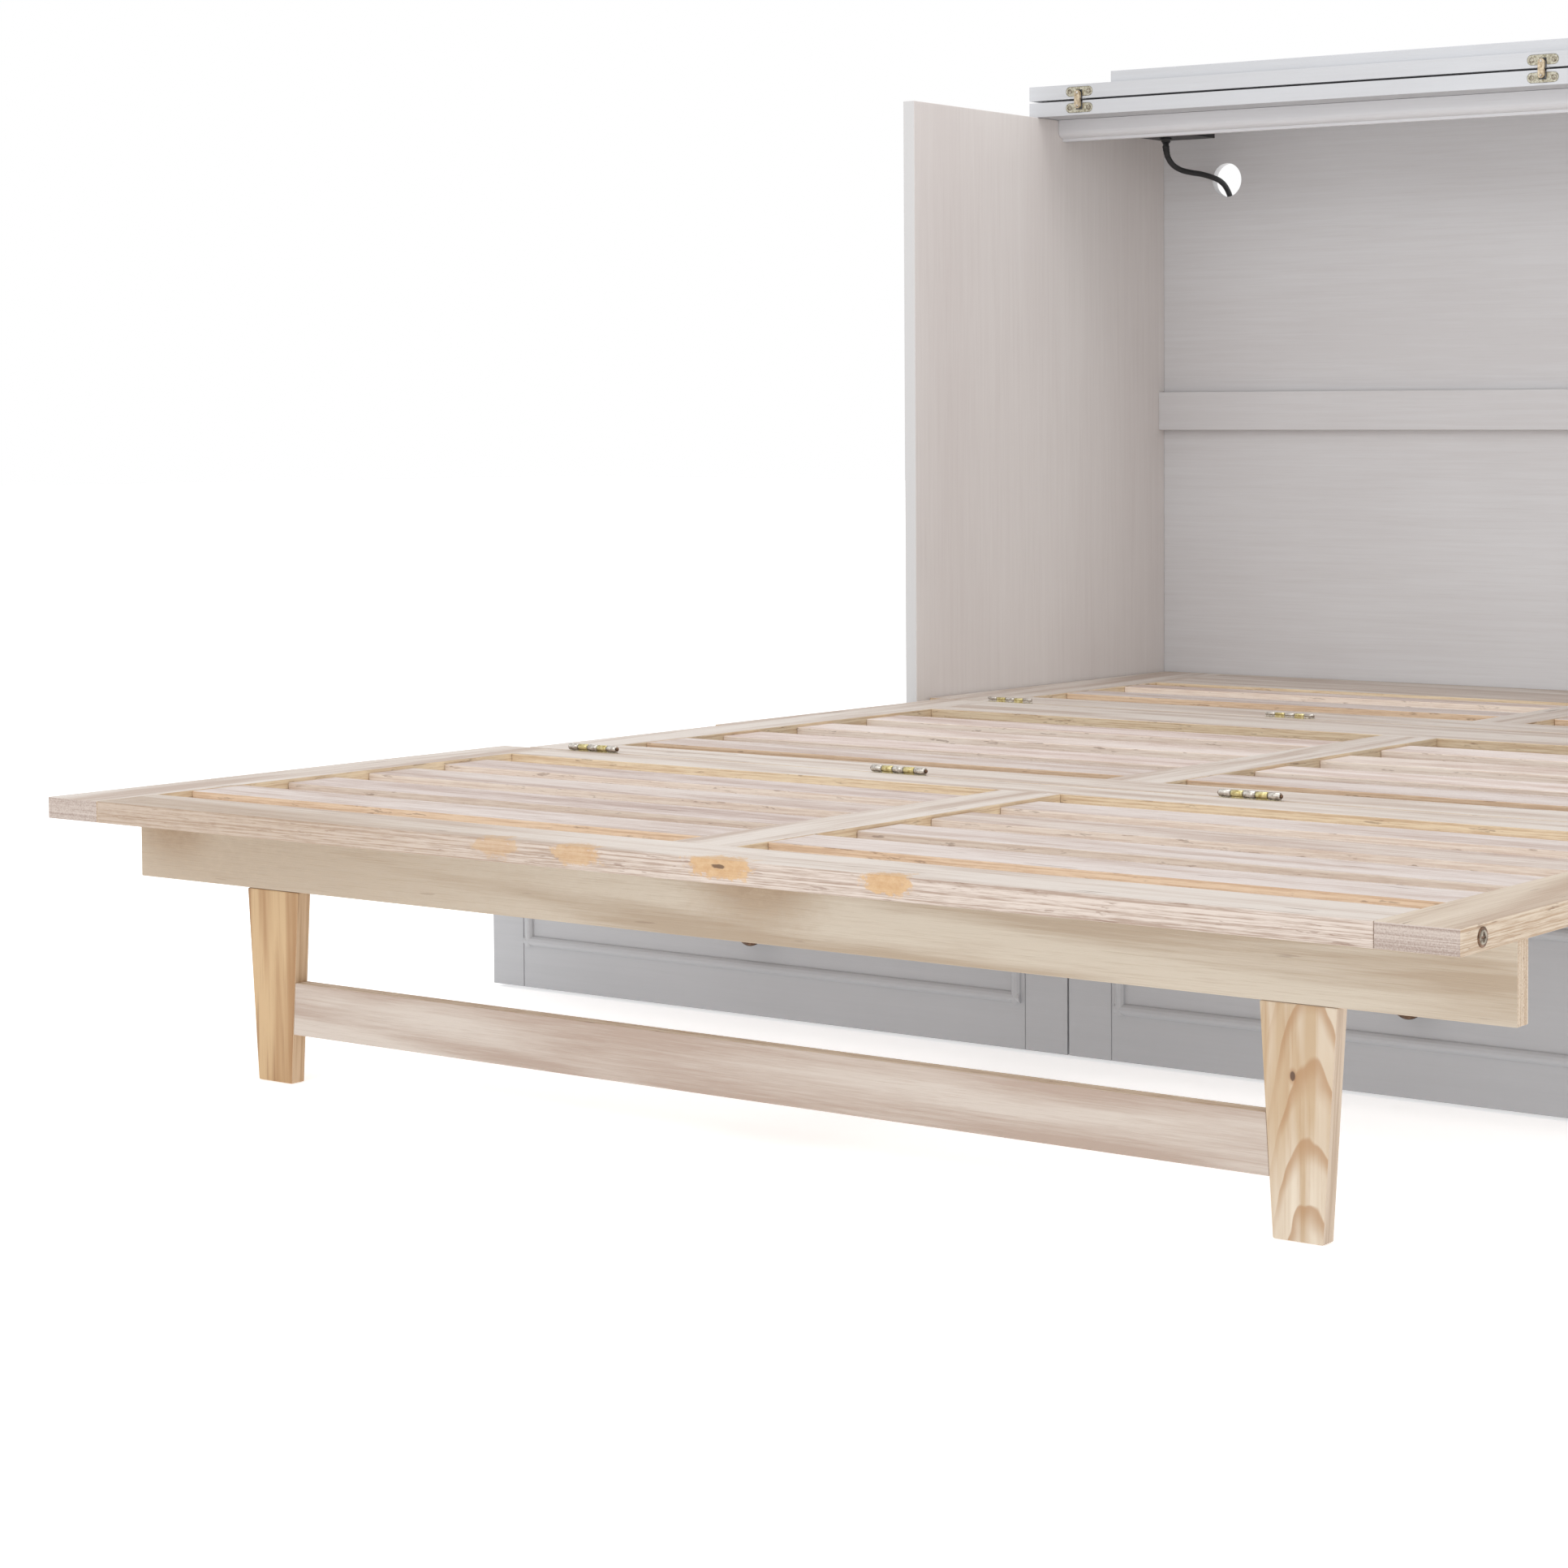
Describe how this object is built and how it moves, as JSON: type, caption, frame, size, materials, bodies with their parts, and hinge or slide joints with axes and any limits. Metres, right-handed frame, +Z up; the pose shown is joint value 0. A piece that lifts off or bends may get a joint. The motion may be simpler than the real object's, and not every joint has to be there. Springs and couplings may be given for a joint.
{
  "type": "wall bed",
  "caption": "Cabinet wall bed unfolded: hinged slatted platform on folding leg frame, fold-back lid, roll-out drawer and power cord.",
  "frame": {"origin": "on the floor, at the middle of the footprint of the unfolded bed without its cord", "axes": "+Z up, +Y from the foot of the bed to the wall, +X to the right seen from the foot"},
  "size_m": [1.6284, 2.1502, 1.1431],
  "materials": {
    "cabinet_paint": "whitewashed, satin",
    "drawer_paint": "grey wash, satin",
    "plywood": "raw laminated wood",
    "slat_wood": "raw sawn wood",
    "apron_wood": "smooth plywood",
    "pine": "clear lacquer",
    "box_wood": "raw wood",
    "brass": "yellow zinc plated",
    "bronze": "antique bronze",
    "black_plastic": "matt",
    "cord_jacket": "matt"
  },
  "bodies": {
    "cabinet": {"side_panel_left": "cabinet_paint", "side_panel_right": "cabinet_paint", "back_panel": "cabinet_paint", "back_mid_rail": "cabinet_paint", "top_rail": "cabinet_paint", "lid_rear_leaf": "cabinet_paint", "head_rail_left": "plywood", "head_rail_right": "plywood", "head_rail_front": "plywood", "head_rail_rear": "plywood", "head_slats": "slat_wood", "head_cleat_left": "box_wood", "head_cleat_right": "box_wood", "power_module": "black_plastic", "lid_hinge_plate_rear_left": "brass", "lid_hinge_plate_rear_middle": "brass", "lid_hinge_plate_rear_right": "brass", "cord_gland": "black_plastic", "power_cord": "cord_jacket", "cord_coil": "cord_jacket", "cord_plug": "black_plastic"},
    "lid_front": {"lid_front_leaf": "cabinet_paint", "lid_stiffener": "cabinet_paint", "lid_hinge_plate_front_left": "brass", "lid_hinge_plate_front_middle": "brass", "lid_hinge_plate_front_right": "brass"},
    "lid_links": {"lid_hinge_link_left": "brass", "lid_hinge_link_middle": "brass", "lid_hinge_link_right": "brass"},
    "middle_section": {"middle_rail_left": "plywood", "middle_rail_right": "plywood", "middle_rail_front": "plywood", "middle_rail_rear": "plywood", "middle_slats": "slat_wood", "upper_front": "drawer_paint", "fold_bearer": "drawer_paint", "fold_hinge_middle_1": "brass", "fold_hinge_middle_2": "brass", "fold_hinge_middle_3": "brass", "fold_hinge_middle_4": "brass"},
    "foot_section": {"foot_rail_left": "plywood", "foot_rail_right": "plywood", "foot_rail_front": "plywood", "foot_rail_rear": "plywood", "foot_slats": "slat_wood", "fold_hinge_foot_1": "brass", "fold_hinge_foot_2": "brass", "fold_hinge_foot_3": "brass", "fold_hinge_foot_4": "brass"},
    "leg_frame": {"leg_apron": "apron_wood", "leg_left": "pine", "leg_right": "pine", "leg_stretcher": "plywood"},
    "drawer": {"drawer_front": "drawer_paint", "drawer_side_left": "box_wood", "drawer_side_right": "box_wood", "drawer_back": "box_wood", "drawer_bottom": "box_wood", "drawer_knob_left": "bronze", "drawer_knob_right": "bronze"}
  },
  "joints": [
    {"name": "lid_fold", "type": "hinge", "parent": "cabinet", "child": "lid_front", "pos_m": [0, 0.6722, 1.1054], "axis": [1, 0, 0], "range_deg": [0, 180]},
    {"name": "lid_link_turn", "type": "hinge", "parent": "cabinet", "child": "lid_links", "pos_m": [0, 0.6722, 1.1054], "axis": [1, 0, 0], "range_deg": [0, 90]},
    {"name": "middle_fold", "type": "hinge", "parent": "cabinet", "child": "middle_section", "pos_m": [0, 0.4115, 0.2844], "axis": [-1, 0, 0], "range_deg": [0, 90]},
    {"name": "foot_fold", "type": "hinge", "parent": "middle_section", "child": "foot_section", "pos_m": [0, -0.3815, 0.2844], "axis": [-1, 0, 0], "range_deg": [0, 180]},
    {"name": "leg_fold", "type": "hinge", "parent": "foot_section", "child": "leg_frame", "pos_m": [0, -0.8632, 0.256], "axis": [1, 0, 0], "range_deg": [0, 90]},
    {"name": "drawer_slide", "type": "slide", "parent": "cabinet", "child": "drawer", "axis": [0, 1, 0], "range_m": [0, 0.75]}
  ],
  "couplings": [
    {"joint": "lid_link_turn", "follows": "lid_fold", "ratio": 0.5}
  ]
}
